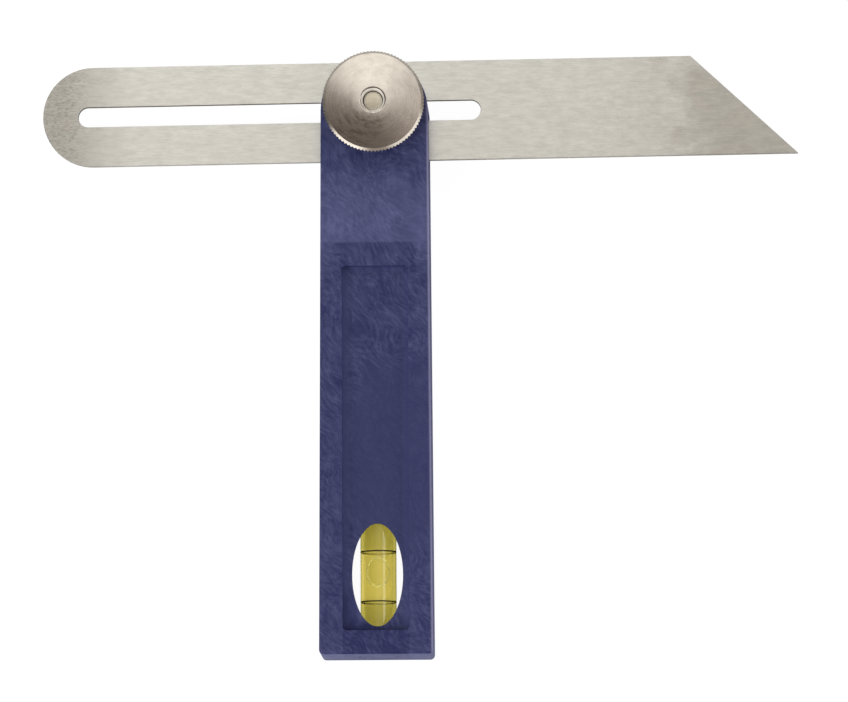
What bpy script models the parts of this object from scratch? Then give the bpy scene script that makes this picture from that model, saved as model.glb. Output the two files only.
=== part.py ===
"""
Sliding bevel with a spirit vial in its handle.

The tool lies on its back: the handle runs from the clamp bolt down to its foot at -Y, the blade
crosses it along X, and the thumb nut faces +Z. The origin is on the bolt's axis at the back face.
"""

import math

import bmesh
import bpy
from mathutils import Matrix

MM = 0.001

# Blade
BLADE_LENGTH = 203 * MM
BLADE_WIDTH = 27 * MM
BLADE_THICKNESS = 1.6 * MM
BLADE_TIP_RUN = 28.4 * MM
BLADE_EDGE_BREAK = 0.15 * MM
BLADE_SLOT_WIDTH = 5.45 * MM
BLADE_SLOT_LENGTH = 108.5 * MM
BLADE_SLOT_MARGIN = 9.5 * MM
BLADE_BACK_REACH = 89.6 * MM
BLADE_REST_TURN = math.radians(0.62)

# Handle
HANDLE_THICKNESS = 19.2 * MM
HANDLE_TOP_WIDTH = 28.7 * MM
HANDLE_TOP_REACH = 13.3 * MM
HANDLE_FOOT_WIDTH = 30.2 * MM
HANDLE_REACH = 147.1 * MM
HANDLE_EDGE_RADIUS = 0.5 * MM
HANDLE_FOOT_CORNER = 1.2 * MM
BLADE_SIDE_CLEARANCE = 0.4 * MM
FORK_FLOOR_WALL = 1.8 * MM

# Sunk panel in the handle's faces, and the sloping frame round the front one
PANEL_WIDTH = 17.7 * MM
PANEL_LENGTH = 97.6 * MM
PANEL_FOOT_BORDER = 6.4 * MM
PANEL_DEPTH = 2.5 * MM
PANEL_CORNER = 1.1 * MM
FRAME_TOP_BORDER = 6.1 * MM
FRAME_RIM = 0.15 * MM
FRAME_FALL = 0.4 * MM
FRAME_LAP = 0.3 * MM

# Clamp bolt, its washer and the two thin washers beside the blade
BOLT_DIAMETER = 5 * MM
BOLT_HEAD_DIAMETER = 11 * MM
BOLT_HEAD_THICKNESS = 2.6 * MM
BOLT_HEAD_CHAMFER = 0.4 * MM
BOLT_NECK_WIDTH = 6.4 * MM
BOLT_NECK_LENGTH = 3 * MM
BOLT_END_CHAMFER = 0.4 * MM
BOLT_END_DROP = 1.8 * MM
NUT_WASHER_DIAMETER = 20 * MM
NUT_WASHER_THICKNESS = 1 * MM
BLADE_WASHER_DIAMETER = 16 * MM
BLADE_WASHER_THICKNESS = 0.8 * MM

# Thumb nut
NUT_FLANGE_DIAMETER = 27.3 * MM
NUT_FLANGE_THICKNESS = 2.2 * MM
NUT_FLANGE_CHAMFER = 0.8 * MM
NUT_COLLAR_DIAMETER = 17 * MM
NUT_COLLAR_HEIGHT = 4.7 * MM
NUT_COLLAR_FILLET = 0.8 * MM
NUT_FACE_RISE = 1.7 * MM
NUT_FACE_CROWN = 0.12 * MM
NUT_MOUTH_DIAMETER = 6.7 * MM
NUT_MOUTH_DEPTH = 0.7 * MM
NUT_TOOTH_DEPTH = 0.3 * MM
NUT_TEETH = 90

# Vial
VIAL_CENTRE_RISE = 21.3 * MM
VIAL_SIDE_OFFSET = 0.4 * MM
VIAL_LENGTH = 34 * MM
VIAL_DIAMETER = 9.6 * MM
VIAL_WALL = 0.8 * MM
VIAL_CAP_THICKNESS = 1 * MM
VIAL_SPIGOT_LENGTH = 1.5 * MM
WINDOW_WIDTH = 13.5 * MM
WINDOW_HEIGHT = 27.4 * MM
WINDOW_BACK_WIDTH = 15.4 * MM
WINDOW_BACK_HEIGHT = 29.6 * MM
WINDOW_BACK_SHIFT = 0.8 * MM
RING_SPACING = 13.4 * MM
RING_WIDTH = 0.35 * MM
RING_THICKNESS = 0.2 * MM
BUBBLE_WIDTH = 6.2 * MM
BUBBLE_LENGTH = 8.2 * MM
BUBBLE_HEIGHT = 2.2 * MM
BUBBLE_RISE = 2.2 * MM
BUBBLE_OFFSET = 1.2 * MM
CUSHION_THICKNESS = 1 * MM
PLUG_DIAMETER = 10.6 * MM
PLUG_CHAMFER = 0.2 * MM

# Clearances between pieces, and how far a cutter runs past what it cuts
SEAT_GAP = 0.2 * MM
RUNNING_GAP = 0.25 * MM
SNUG_GAP = 0.1 * MM
CUT_OVERRUN = 2 * MM
WELD_DISTANCE = 0.001 * MM

# Smoothness of round pieces, in steps for a full turn
BROAD_STEPS = 64
SMALL_STEPS = 40
CORNER_STEPS = 4
EDGE_STEPS = 3
FACE_STEPS = 4
BUBBLE_STEPS = 20
BUBBLE_RINGS = 12
CREASE_ANGLE = math.radians(30)
EDGE_ANGLE = math.radians(50)

# Heights above the back face
MIDDLE = HANDLE_THICKNESS / 2
FORK_GAP = BLADE_THICKNESS + 2 * BLADE_SIDE_CLEARANCE
PANEL_FLOOR = HANDLE_THICKNESS - FRAME_FALL - PANEL_DEPTH
WASHER_FACE = BLADE_THICKNESS / 2 + SEAT_GAP
WASHER_BACK = WASHER_FACE + BLADE_WASHER_THICKNESS
NUT_WASHER_SEAT = HANDLE_THICKNESS + SEAT_GAP
NUT_SEAT = NUT_WASHER_SEAT + NUT_WASHER_THICKNESS + SEAT_GAP
NUT_FLANGE_TOP = NUT_COLLAR_HEIGHT + NUT_FLANGE_THICKNESS
NUT_TOP = NUT_FLANGE_TOP + NUT_FACE_RISE

# Places along the handle
TOP_CENTRE = HANDLE_TOP_REACH - HANDLE_TOP_WIDTH / 2
FOOT = -HANDLE_REACH
PANEL_FOOT = FOOT + PANEL_FOOT_BORDER
PANEL_TOP = PANEL_FOOT + PANEL_LENGTH
VIAL_CENTRE = FOOT + VIAL_CENTRE_RISE
VIAL_TOP = VIAL_CENTRE + VIAL_LENGTH / 2
VIAL_FOOT = VIAL_CENTRE - VIAL_LENGTH / 2
BORE_TOP = VIAL_TOP + CUSHION_THICKNESS + 2 * SEAT_GAP
FORK_FLOOR = BORE_TOP + FORK_FLOOR_WALL

# Radii that several pieces share
BOLT_RADIUS = BOLT_DIAMETER / 2
BOLT_HOLE_RADIUS = BOLT_RADIUS + RUNNING_GAP
VIAL_RADIUS = VIAL_DIAMETER / 2
CAVITY_RADIUS = VIAL_RADIUS - VIAL_WALL


def clear_scene():
    """Empties the file, so that the script gives the same result each run."""
    for thing in list(bpy.data.objects):
        bpy.data.objects.remove(thing)


def make_collection(name):
    """A new collection in the scene."""
    group = bpy.data.collections.new(name)
    bpy.context.scene.collection.children.link(group)
    return group


def display_colour(red, green, blue):
    """The linear colour of an 8-bit display colour."""
    linear = []
    for value in (red, green, blue):
        share = value / 255
        linear.append(share / 12.92 if share <= 0.04045 else ((share + 0.055) / 1.055) ** 2.4)
    return (*linear, 1)


def make_material(name, colour, roughness, metallic=0, transmission=0):
    """A Principled material of one colour."""
    material = bpy.data.materials.new(name)
    material.use_nodes = True
    shader = material.node_tree.nodes["Principled BSDF"]
    shader.inputs["Base Color"].default_value = display_colour(*colour)
    shader.inputs["Roughness"].default_value = roughness
    shader.inputs["Metallic"].default_value = metallic
    shader.inputs["Transmission Weight"].default_value = transmission
    return material


def add_piece(name, mesh, material=None, parent=None):
    """Puts a mesh in the scene: a piece when it has a material, and a cutter when it has none."""
    piece = bpy.data.objects.new(name, mesh)
    if material:
        mesh.materials.append(material)
        PIECES.objects.link(piece)
    else:
        CUTTERS.objects.link(piece)
        piece.hide_render = True
        piece.display_type = "WIRE"
    piece.parent = parent
    return piece


def add_axis(name, location, rotation=(0, 0, 0), parent=None):
    """An empty that carries the pieces of one moving group."""
    axis = bpy.data.objects.new(name, None)
    PIECES.objects.link(axis)
    axis.location = location
    axis.rotation_euler = rotation
    axis.parent = parent
    return axis


def mesh_from(form, name):
    """A mesh made of a bmesh, which is then freed."""
    mesh = bpy.data.meshes.new(name)
    form.to_mesh(mesh)
    form.free()
    return mesh


def shade_round(mesh):
    """Smooth shading with crisp edges at the turned corners."""
    mesh.shade_smooth()
    mesh.set_sharp_from_angle(angle=CREASE_ANGLE)


def box(name, low, high, corner=0, material=None, parent=None):
    """A block between two corners, its upright edges rounded where a corner radius is given."""
    form = bmesh.new()
    bmesh.ops.create_cube(form, size=1)
    size = [top - bottom for bottom, top in zip(low, high)]
    bmesh.ops.scale(form, vec=size, verts=form.verts)
    centre = [(top + bottom) / 2 for bottom, top in zip(low, high)]
    bmesh.ops.translate(form, vec=centre, verts=form.verts)
    if corner:
        upright = [edge for edge in form.edges if edge.verts[0].co.z != edge.verts[1].co.z]
        bmesh.ops.bevel(
            form,
            geom=upright,
            offset=corner,
            offset_type="OFFSET",
            affect="EDGES",
            segments=CORNER_STEPS,
            profile=0.5,
            material=-1,
        )
    return add_piece(name, mesh_from(form, name), material, parent)


def drum(name, width, height, low, high, steps=SMALL_STEPS, parent=None):
    """A round or oval cutter that stands along Z from low to high.

    It is turned half a step, so that none of its corners meets the line across the bolt's axis.
    """
    form = bmesh.new()
    half_step = Matrix.Rotation(math.pi / steps, 3, "Z")
    bmesh.ops.create_cone(form, cap_ends=True, segments=steps, radius1=1, radius2=1, depth=1)
    bmesh.ops.rotate(form, cent=(0, 0, 0), matrix=half_step, verts=form.verts)
    bmesh.ops.scale(form, vec=(width / 2, height / 2, high - low), verts=form.verts)
    bmesh.ops.translate(form, vec=(0, 0, (low + high) / 2), verts=form.verts)
    return add_piece(name, mesh_from(form, name), parent=parent)


def turned(name, profile, material, closed=False, steps=SMALL_STEPS, parent=None):
    """A piece turned round Z from points of radius and height, given from the top down its outside."""
    mesh = bpy.data.meshes.new(name)
    points = [(radius, 0, height) for radius, height in profile]
    edges = [(index, index + 1) for index in range(len(points) - 1)]
    if closed:
        edges.append((len(points) - 1, 0))
    mesh.from_pydata(points, edges, [])
    piece = add_piece(name, mesh, material, parent)
    screw = piece.modifiers.new("turn", "SCREW")
    screw.axis = "Z"
    screw.angle = 2 * math.pi
    screw.steps = steps
    screw.render_steps = steps
    screw.use_merge_vertices = True
    screw.merge_threshold = WELD_DISTANCE
    screw.use_smooth_shade = True
    return piece


def ring(name, bore_radius, radius, low, high, material, steps=SMALL_STEPS, parent=None):
    """A flat washer or band between two heights."""
    profile = [(radius, high), (radius, low), (bore_radius, low), (bore_radius, high)]
    return turned(name, profile, material, closed=True, steps=steps, parent=parent)


def arc(centre, radius, start, end, steps):
    """Points along an arc, its angles in degrees."""
    points = []
    for step in range(steps + 1):
        angle = math.radians(start + (end - start) * step / steps)
        points.append((centre[0] + radius * math.cos(angle), centre[1] + radius * math.sin(angle)))
    return points


def plate(name, outlines, low, high, material=None, parent=None):
    """A flat piece between two heights from its outline and the outlines of its holes."""
    flat = bpy.data.curves.new(name, "CURVE")
    flat.dimensions = "2D"
    flat.fill_mode = "BOTH"
    flat.extrude = (high - low) / 2
    for outline in outlines:
        spline = flat.splines.new("POLY")
        spline.points.add(len(outline) - 1)
        for point, (x, y) in zip(spline.points, outline):
            point.co = (x, y, 0, 1)
        spline.use_cyclic_u = True
    drawn = bpy.data.objects.new(name, flat)
    drawn.location.z = (low + high) / 2
    CUTTERS.objects.link(drawn)
    view = bpy.context.evaluated_depsgraph_get()
    mesh = bpy.data.meshes.new_from_object(drawn.evaluated_get(view))
    mesh.transform(drawn.matrix_world)
    bpy.data.objects.remove(drawn)
    form = bmesh.new()
    form.from_mesh(mesh)
    bpy.data.meshes.remove(mesh)
    bmesh.ops.remove_doubles(form, verts=form.verts, dist=WELD_DISTANCE)
    bmesh.ops.recalc_face_normals(form, faces=form.faces)
    return add_piece(name, mesh_from(form, name), material, parent)


def soften(piece, width, segments):
    """Rounds or chamfers the edges between a plate's faces and its rim."""
    bevel = piece.modifiers.new("edge", "BEVEL")
    bevel.width = width
    bevel.segments = segments
    bevel.limit_method = "ANGLE"
    bevel.angle_limit = EDGE_ANGLE


def combine(piece, other, operation="DIFFERENCE"):
    """Cuts a piece with another solid, or joins or trims it to that solid."""
    boolean = piece.modifiers.new(other.name, "BOOLEAN")
    boolean.operation = operation
    boolean.solver = "EXACT"
    boolean.object = other


def handle_half_width(y):
    """Half the handle's width at a place along it: its sides flare evenly from its top to its foot."""
    share = (y - TOP_CENTRE) / (FOOT + HANDLE_FOOT_CORNER - TOP_CENTRE)
    return (HANDLE_TOP_WIDTH + (HANDLE_FOOT_WIDTH - HANDLE_TOP_WIDTH) * share) / 2


def frame_cutter():
    """The shallow funnel whose four sloping faces frame the front panel."""
    margin = HANDLE_EDGE_RADIUS + FRAME_RIM
    outer_top = PANEL_TOP + FRAME_TOP_BORDER
    outer_foot = FOOT + margin
    inner_half = PANEL_WIDTH / 2 - FRAME_LAP
    form = bmesh.new()
    for y in (outer_top, outer_foot):
        half = handle_half_width(y) - margin
        for x in (-half, half):
            form.verts.new((x, y, HANDLE_THICKNESS))
            form.verts.new((x, y, HANDLE_THICKNESS + CUT_OVERRUN))
    for y in (PANEL_TOP - FRAME_LAP, PANEL_FOOT + FRAME_LAP):
        for x in (-inner_half, inner_half):
            form.verts.new((x, y, HANDLE_THICKNESS - FRAME_FALL))
    bmesh.ops.convex_hull(form, input=form.verts)
    return add_piece("frame_cutter", mesh_from(form, "frame_cutter"))


def panel_cutter(name, low, high):
    """A long sunk panel with rounded corners, cut between two heights."""
    half = PANEL_WIDTH / 2
    return box(name, (-half, PANEL_FOOT, low), (half, PANEL_TOP, high), corner=PANEL_CORNER)


def window_cutter():
    """The oval window right through the handle, wider at the back so that light reaches the vial."""
    form = bmesh.new()
    for level in (-CUT_OVERRUN, PANEL_FLOOR + CUT_OVERRUN):
        share = level / PANEL_FLOOR
        width = WINDOW_BACK_WIDTH + (WINDOW_WIDTH - WINDOW_BACK_WIDTH) * share
        height = WINDOW_BACK_HEIGHT + (WINDOW_HEIGHT - WINDOW_BACK_HEIGHT) * share
        shift = WINDOW_BACK_SHIFT * (1 - share)
        for step in range(BROAD_STEPS):
            angle = 2 * math.pi * step / BROAD_STEPS
            form.verts.new((width / 2 * math.cos(angle), height / 2 * math.sin(angle) + shift, level))
    bmesh.ops.convex_hull(form, input=form.verts)
    return add_piece("window_cutter", mesh_from(form, "window_cutter"))


def make_handle(material, vial_axis):
    """The moulded handle: a fork for the blade, a bolt hole, sunk panels, a window and a vial bore."""
    foot_half = HANDLE_FOOT_WIDTH / 2 - HANDLE_FOOT_CORNER
    corner_y = FOOT + HANDLE_FOOT_CORNER
    outline = arc((foot_half, corner_y), HANDLE_FOOT_CORNER, -90, 0, CORNER_STEPS)
    outline += arc((0, TOP_CENTRE), HANDLE_TOP_WIDTH / 2, 0, 180, BROAD_STEPS // 2)
    outline += arc((-foot_half, corner_y), HANDLE_FOOT_CORNER, 180, 270, CORNER_STEPS)
    handle = plate("handle_body", [outline], 0, HANDLE_THICKNESS, material)
    soften(handle, HANDLE_EDGE_RADIUS, EDGE_STEPS)

    side = HANDLE_FOOT_WIDTH / 2 + CUT_OVERRUN
    top = HANDLE_TOP_REACH + CUT_OVERRUN
    fork_low = MIDDLE - FORK_GAP / 2
    fork_high = MIDDLE + FORK_GAP / 2
    combine(handle, box("fork_cutter", (-side, FORK_FLOOR, fork_low), (side, top, fork_high)))

    seat_width = BLADE_WASHER_DIAMETER + 2 * RUNNING_GAP
    seat_depth = WASHER_BACK + SEAT_GAP
    seat = drum("seat_cutter", seat_width, seat_width, MIDDLE - seat_depth, MIDDLE + seat_depth)
    combine(handle, seat)

    hole_width = 2 * BOLT_HOLE_RADIUS
    combine(handle, drum("bolt_hole_cutter", hole_width, hole_width, BOLT_HEAD_THICKNESS, NUT_SEAT))
    neck_half = BOLT_NECK_WIDTH / 2 + RUNNING_GAP
    neck_end = BOLT_HEAD_THICKNESS + BOLT_NECK_LENGTH + SEAT_GAP
    combine(handle, box("neck_cutter", (-neck_half, -neck_half, 0), (neck_half, neck_half, neck_end)))
    pocket_width = BOLT_HEAD_DIAMETER + 2 * RUNNING_GAP
    pocket_depth = BOLT_HEAD_THICKNESS + SEAT_GAP
    combine(handle, drum("head_cutter", pocket_width, pocket_width, -CUT_OVERRUN, pocket_depth))

    combine(handle, frame_cutter())
    combine(handle, panel_cutter("front_panel_cutter", PANEL_FLOOR, HANDLE_THICKNESS + CUT_OVERRUN))
    combine(handle, panel_cutter("back_panel_cutter", -CUT_OVERRUN, PANEL_DEPTH))

    window = window_cutter()
    window.location = (VIAL_SIDE_OFFSET, VIAL_CENTRE, 0)
    combine(handle, window)

    bore_width = VIAL_DIAMETER + 2 * RUNNING_GAP
    bore_low = FOOT - VIAL_CENTRE - CUT_OVERRUN
    bore = drum("bore_cutter", bore_width, bore_width, bore_low, BORE_TOP - VIAL_CENTRE, parent=vial_axis)
    combine(handle, bore)
    mouth_width = PLUG_DIAMETER + 2 * SNUG_GAP
    mouth_high = VIAL_FOOT - VIAL_CENTRE
    mouth = drum("mouth_cutter", mouth_width, mouth_width, bore_low, mouth_high, parent=vial_axis)
    combine(handle, mouth)
    return handle


def make_blade(material, parent):
    """The steel blade: one round end, one angled tip and a long slot for the bolt."""
    half = BLADE_WIDTH / 2
    back = -BLADE_BACK_REACH
    tip = back + BLADE_LENGTH
    outline = arc((back + half, 0), half, 90, 270, BROAD_STEPS // 2)
    outline += [(tip, -half), (tip - BLADE_TIP_RUN, half)]
    slot_half = BLADE_SLOT_WIDTH / 2
    slot_start = back + BLADE_SLOT_MARGIN + slot_half
    slot_end = back + BLADE_SLOT_MARGIN + BLADE_SLOT_LENGTH - slot_half
    slot = arc((slot_start, 0), slot_half, 90, 270, SMALL_STEPS // 2)
    slot += arc((slot_end, 0), slot_half, -90, 90, SMALL_STEPS // 2)
    face = BLADE_THICKNESS / 2
    blade = plate("blade", [outline, slot], -face, face, material, parent)
    soften(blade, BLADE_EDGE_BREAK, 1)
    return blade


def make_bolt(material):
    """The clamp bolt: a flush head, a square neck that stops it turning, and a plain shank."""
    head = BOLT_HEAD_DIAMETER / 2
    end = NUT_SEAT + NUT_TOP - BOLT_END_DROP
    profile = [
        (0, end),
        (BOLT_RADIUS - BOLT_END_CHAMFER, end),
        (BOLT_RADIUS, end - BOLT_END_CHAMFER),
        (BOLT_RADIUS, BOLT_HEAD_THICKNESS),
        (head, BOLT_HEAD_THICKNESS),
        (head, BOLT_HEAD_CHAMFER),
        (head - BOLT_HEAD_CHAMFER, 0),
        (0, 0),
    ]
    bolt = turned("clamp_bolt", profile, material)
    half = BOLT_NECK_WIDTH / 2
    neck_low = BOLT_HEAD_THICKNESS / 2
    neck_high = BOLT_HEAD_THICKNESS + BOLT_NECK_LENGTH
    combine(bolt, box("neck_block", (-half, -half, neck_low), (half, half, neck_high)), "UNION")
    return bolt


def nut_face_points():
    """The nut's crowned face, from its mouth out to the rim chamfer."""
    inner = NUT_MOUTH_DIAMETER / 2
    outer = NUT_FLANGE_DIAMETER / 2 - NUT_FLANGE_CHAMFER
    points = []
    for step in range(FACE_STEPS + 1):
        share = step / FACE_STEPS
        crown = NUT_FACE_CROWN * 4 * share * (1 - share)
        points.append((inner + (outer - inner) * share, NUT_TOP - NUT_FACE_RISE * share + crown))
    return points


def make_thumb_nut(material, parent):
    """The thumb nut: a collar on the washer under a thin flange with a toothed rim."""
    flange = NUT_FLANGE_DIAMETER / 2
    collar = NUT_COLLAR_DIAMETER / 2
    bore = BOLT_HOLE_RADIUS
    profile = nut_face_points() + [
        (flange, NUT_FLANGE_TOP - NUT_FLANGE_CHAMFER),
        (flange, NUT_COLLAR_HEIGHT + NUT_FLANGE_CHAMFER),
        (flange - NUT_FLANGE_CHAMFER, NUT_COLLAR_HEIGHT),
        (collar + NUT_COLLAR_FILLET, NUT_COLLAR_HEIGHT),
        (collar, NUT_COLLAR_HEIGHT - NUT_COLLAR_FILLET),
        (collar, 0),
        (bore, 0),
        (bore, NUT_TOP - NUT_MOUTH_DEPTH),
    ]
    nut = turned("thumb_nut", profile, material, closed=True, steps=NUT_TEETH, parent=parent)
    star = []
    for tooth in range(NUT_TEETH):
        for radius, part_share in ((flange, 0), (flange - NUT_TOOTH_DEPTH, 0.5)):
            angle = 2 * math.pi * (tooth + part_share) / NUT_TEETH
            star.append((radius * math.cos(angle), radius * math.sin(angle)))
    teeth = plate("tooth_trimmer", [star], -CUT_OVERRUN, NUT_TOP + CUT_OVERRUN, parent=parent)
    combine(nut, teeth, "INTERSECT")
    return nut


def make_washers(steel, nylon, nut_axis, blade_axis):
    """The washer under the nut, and a thin washer on each side of the blade."""
    bore = BOLT_HOLE_RADIUS
    radius = NUT_WASHER_DIAMETER / 2
    ring("nut_washer", bore, radius, 0, NUT_WASHER_THICKNESS, steel, BROAD_STEPS, nut_axis)
    radius = BLADE_WASHER_DIAMETER / 2
    ring("front_blade_washer", bore, radius, WASHER_FACE, WASHER_BACK, nylon, parent=blade_axis)
    ring("back_blade_washer", bore, radius, -WASHER_BACK, -WASHER_FACE, nylon, parent=blade_axis)


def make_vial_tube(material, parent):
    """The clear tube, open at both ends, with a shallow groove for each marking ring."""
    end = VIAL_LENGTH / 2 - VIAL_CAP_THICKNESS - SNUG_GAP
    groove_half = RING_WIDTH / 2 + SNUG_GAP
    groove_radius = VIAL_RADIUS - RING_THICKNESS - SNUG_GAP
    profile = [(VIAL_RADIUS, end)]
    for centre in (RING_SPACING / 2, -RING_SPACING / 2):
        profile.append((VIAL_RADIUS, centre + groove_half))
        profile.append((groove_radius, centre + groove_half))
        profile.append((groove_radius, centre - groove_half))
        profile.append((VIAL_RADIUS, centre - groove_half))
    profile += [(VIAL_RADIUS, -end), (CAVITY_RADIUS, -end), (CAVITY_RADIUS, end)]
    return turned("vial_tube", profile, material, closed=True, parent=parent)


def make_vial_caps(material, parent):
    """A stepped cap for each end of the tube."""
    outside = VIAL_LENGTH / 2
    shoulder = outside - VIAL_CAP_THICKNESS
    inside = shoulder - VIAL_SPIGOT_LENGTH
    spigot = CAVITY_RADIUS - SNUG_GAP
    upper = [(0, outside), (VIAL_RADIUS, outside), (VIAL_RADIUS, shoulder)]
    upper += [(spigot, shoulder), (spigot, inside), (0, inside)]
    lower = [(radius, -height) for radius, height in reversed(upper)]
    turned("vial_upper_cap", upper, material, parent=parent)
    turned("vial_lower_cap", lower, material, parent=parent)


def make_vial_rings(material, parent):
    """The two marking rings that the bubble is read against."""
    low = -RING_WIDTH / 2
    high = RING_WIDTH / 2
    bore = VIAL_RADIUS - RING_THICKNESS
    upper = ring("vial_upper_ring", bore, VIAL_RADIUS, low, high, material, parent=parent)
    lower = ring("vial_lower_ring", bore, VIAL_RADIUS, low, high, material, parent=parent)
    upper.location.z = RING_SPACING / 2
    lower.location.z = -RING_SPACING / 2


def make_vial_liquid(material, parent):
    """The liquid, with a flat channel along its front in which the bubble travels."""
    end = VIAL_LENGTH / 2 - VIAL_CAP_THICKNESS - VIAL_SPIGOT_LENGTH - SNUG_GAP
    radius = CAVITY_RADIUS - SNUG_GAP
    profile = [(0, end), (radius, end), (radius, -end), (0, -end)]
    liquid = turned("vial_liquid", profile, material, parent=parent)
    channel = BUBBLE_RISE - BUBBLE_HEIGHT / 2 - SEAT_GAP
    side = radius + CUT_OVERRUN
    low = (-side, -side, -end - CUT_OVERRUN)
    high = (side, -channel, end + CUT_OVERRUN)
    combine(liquid, box("channel_cutter", low, high, parent=parent))
    return liquid


def make_bubble(material, parent):
    """The bubble, a flattened drop against the front of the tube."""
    form = bmesh.new()
    bmesh.ops.create_uvsphere(form, u_segments=BUBBLE_STEPS, v_segments=BUBBLE_RINGS, radius=1)
    size = (BUBBLE_WIDTH / 2, BUBBLE_HEIGHT / 2, BUBBLE_LENGTH / 2)
    bmesh.ops.scale(form, vec=size, verts=form.verts)
    mesh = mesh_from(form, "vial_bubble")
    shade_round(mesh)
    bubble = add_piece("vial_bubble", mesh, material, parent)
    bubble.location = (0, -BUBBLE_RISE, BUBBLE_OFFSET)
    return bubble


def make_bore_fillings(rubber, plastic, parent):
    """The cushion above the vial and the plug that closes the bore at the foot."""
    radius = VIAL_RADIUS
    low = VIAL_LENGTH / 2 + SEAT_GAP
    high = low + CUSHION_THICKNESS
    turned("vial_cushion", [(0, high), (radius, high), (radius, low), (0, low)], rubber, parent=parent)
    radius = PLUG_DIAMETER / 2
    high = -VIAL_LENGTH / 2 - SEAT_GAP
    low = FOOT - VIAL_CENTRE
    profile = [
        (0, high),
        (radius, high),
        (radius, low + PLUG_CHAMFER),
        (radius - PLUG_CHAMFER, low),
        (0, low),
    ]
    turned("end_plug", profile, plastic, parent=parent)


def make_bevel():
    """The whole tool, each moving group on an empty at its joint."""
    blue = make_material("handle_blue", (68, 71, 108), 0.45)
    steel = make_material("blade_steel", (198, 197, 186), 0.35, metallic=1)
    nickel = make_material("nut_nickel", (196, 190, 178), 0.25, metallic=1)
    zinc = make_material("bolt_zinc", (185, 184, 178), 0.35, metallic=1)
    nylon = make_material("washer_nylon", (224, 220, 206), 0.5)
    clear = make_material("vial_acrylic", (225, 232, 180), 0.05, transmission=0.9)
    liquid = make_material("vial_liquid", (190, 182, 70), 0.05, transmission=0.8)
    air = make_material("vial_air", (240, 242, 215), 0.05, transmission=0.9)
    black = make_material("ring_black", (24, 26, 20), 0.4)
    rubber = make_material("cushion_rubber", (40, 40, 42), 0.8)

    vial_axis = add_axis("vial_axis", (VIAL_SIDE_OFFSET, VIAL_CENTRE, MIDDLE), (-math.pi / 2, 0, 0))
    blade_axis = add_axis("blade_pivot", (0, 0, MIDDLE), (0, 0, BLADE_REST_TURN))
    washer_axis = add_axis("nut_washer_lift", (0, 0, NUT_WASHER_SEAT))
    nut_axis = add_axis("nut_turn", (0, 0, NUT_SEAT))

    make_handle(blue, vial_axis)
    make_blade(steel, blade_axis)
    make_bolt(zinc)
    make_thumb_nut(nickel, nut_axis)
    make_washers(zinc, nylon, washer_axis, blade_axis)
    make_vial_tube(clear, vial_axis)
    make_vial_caps(clear, vial_axis)
    make_vial_rings(black, vial_axis)
    make_vial_liquid(liquid, vial_axis)
    make_bubble(air, vial_axis)
    make_bore_fillings(rubber, blue, vial_axis)


clear_scene()
PIECES = make_collection("sliding_bevel")
CUTTERS = make_collection("cutters")
make_bevel()
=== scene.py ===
# %% [markdown]
# # Dressing a sliding bevel
#
# A sliding bevel copies an angle from one piece of work to another. This one has a slotted steel
# blade, a moulded handle with a spirit vial near its foot, and a thumb nut that clamps the two.
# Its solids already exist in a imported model. This lesson loads them, keeps their places and sizes,
# and gives each one the surface that it has in the photograph.

import math

import bmesh
import bpy
from mathutils import Matrix, Vector


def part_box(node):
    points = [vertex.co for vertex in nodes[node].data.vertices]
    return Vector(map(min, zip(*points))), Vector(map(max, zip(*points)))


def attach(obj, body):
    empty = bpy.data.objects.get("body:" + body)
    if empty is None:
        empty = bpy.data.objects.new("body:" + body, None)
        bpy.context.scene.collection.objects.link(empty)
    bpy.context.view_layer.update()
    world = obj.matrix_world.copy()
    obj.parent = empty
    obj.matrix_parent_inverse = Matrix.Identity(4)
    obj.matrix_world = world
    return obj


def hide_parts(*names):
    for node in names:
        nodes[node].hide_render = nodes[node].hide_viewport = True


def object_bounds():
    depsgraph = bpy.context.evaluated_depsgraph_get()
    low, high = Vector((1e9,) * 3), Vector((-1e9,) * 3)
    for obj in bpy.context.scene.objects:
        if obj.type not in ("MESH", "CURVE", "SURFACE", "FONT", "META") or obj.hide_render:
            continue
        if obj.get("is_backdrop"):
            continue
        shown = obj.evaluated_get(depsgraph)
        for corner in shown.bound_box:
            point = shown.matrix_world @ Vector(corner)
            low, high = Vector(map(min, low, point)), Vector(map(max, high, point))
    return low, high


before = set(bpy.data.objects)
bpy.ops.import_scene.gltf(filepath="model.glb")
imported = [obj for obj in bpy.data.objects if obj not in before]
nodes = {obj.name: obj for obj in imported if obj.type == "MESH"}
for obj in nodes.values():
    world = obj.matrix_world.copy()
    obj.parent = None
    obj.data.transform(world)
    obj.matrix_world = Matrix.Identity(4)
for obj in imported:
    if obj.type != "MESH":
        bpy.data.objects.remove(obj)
cad_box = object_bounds()
MM = 0.001
print("pieces loaded:", sorted(nodes))


def new_object(name, data):
    """An object with the given data, placed in the scene."""
    made = bpy.data.objects.new(name, data)
    bpy.context.scene.collection.objects.link(made)
    return made


# %% [markdown]
# ## The camera
#
# The photograph looks almost straight down on the tool, from a little towards its foot and a little
# to its right. A long lens from 1.7 m keeps the perspective as slight as it is there. Blender could
# aim the camera with a Track To constraint, but working out the three axes by hand also lets us roll
# the camera by the quarter of a degree that the photograph is turned.

# %% Place the camera
CAMERA_PLACE = Vector((60.66, -287.21, 1661.3)) * MM
CAMERA_AIM = Vector((12.79, -65.01, 9.6)) * MM
CAMERA_ROLL = math.radians(-0.258)
CAMERA_LENS = 264.27
CAMERA_SENSOR = 36

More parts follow.
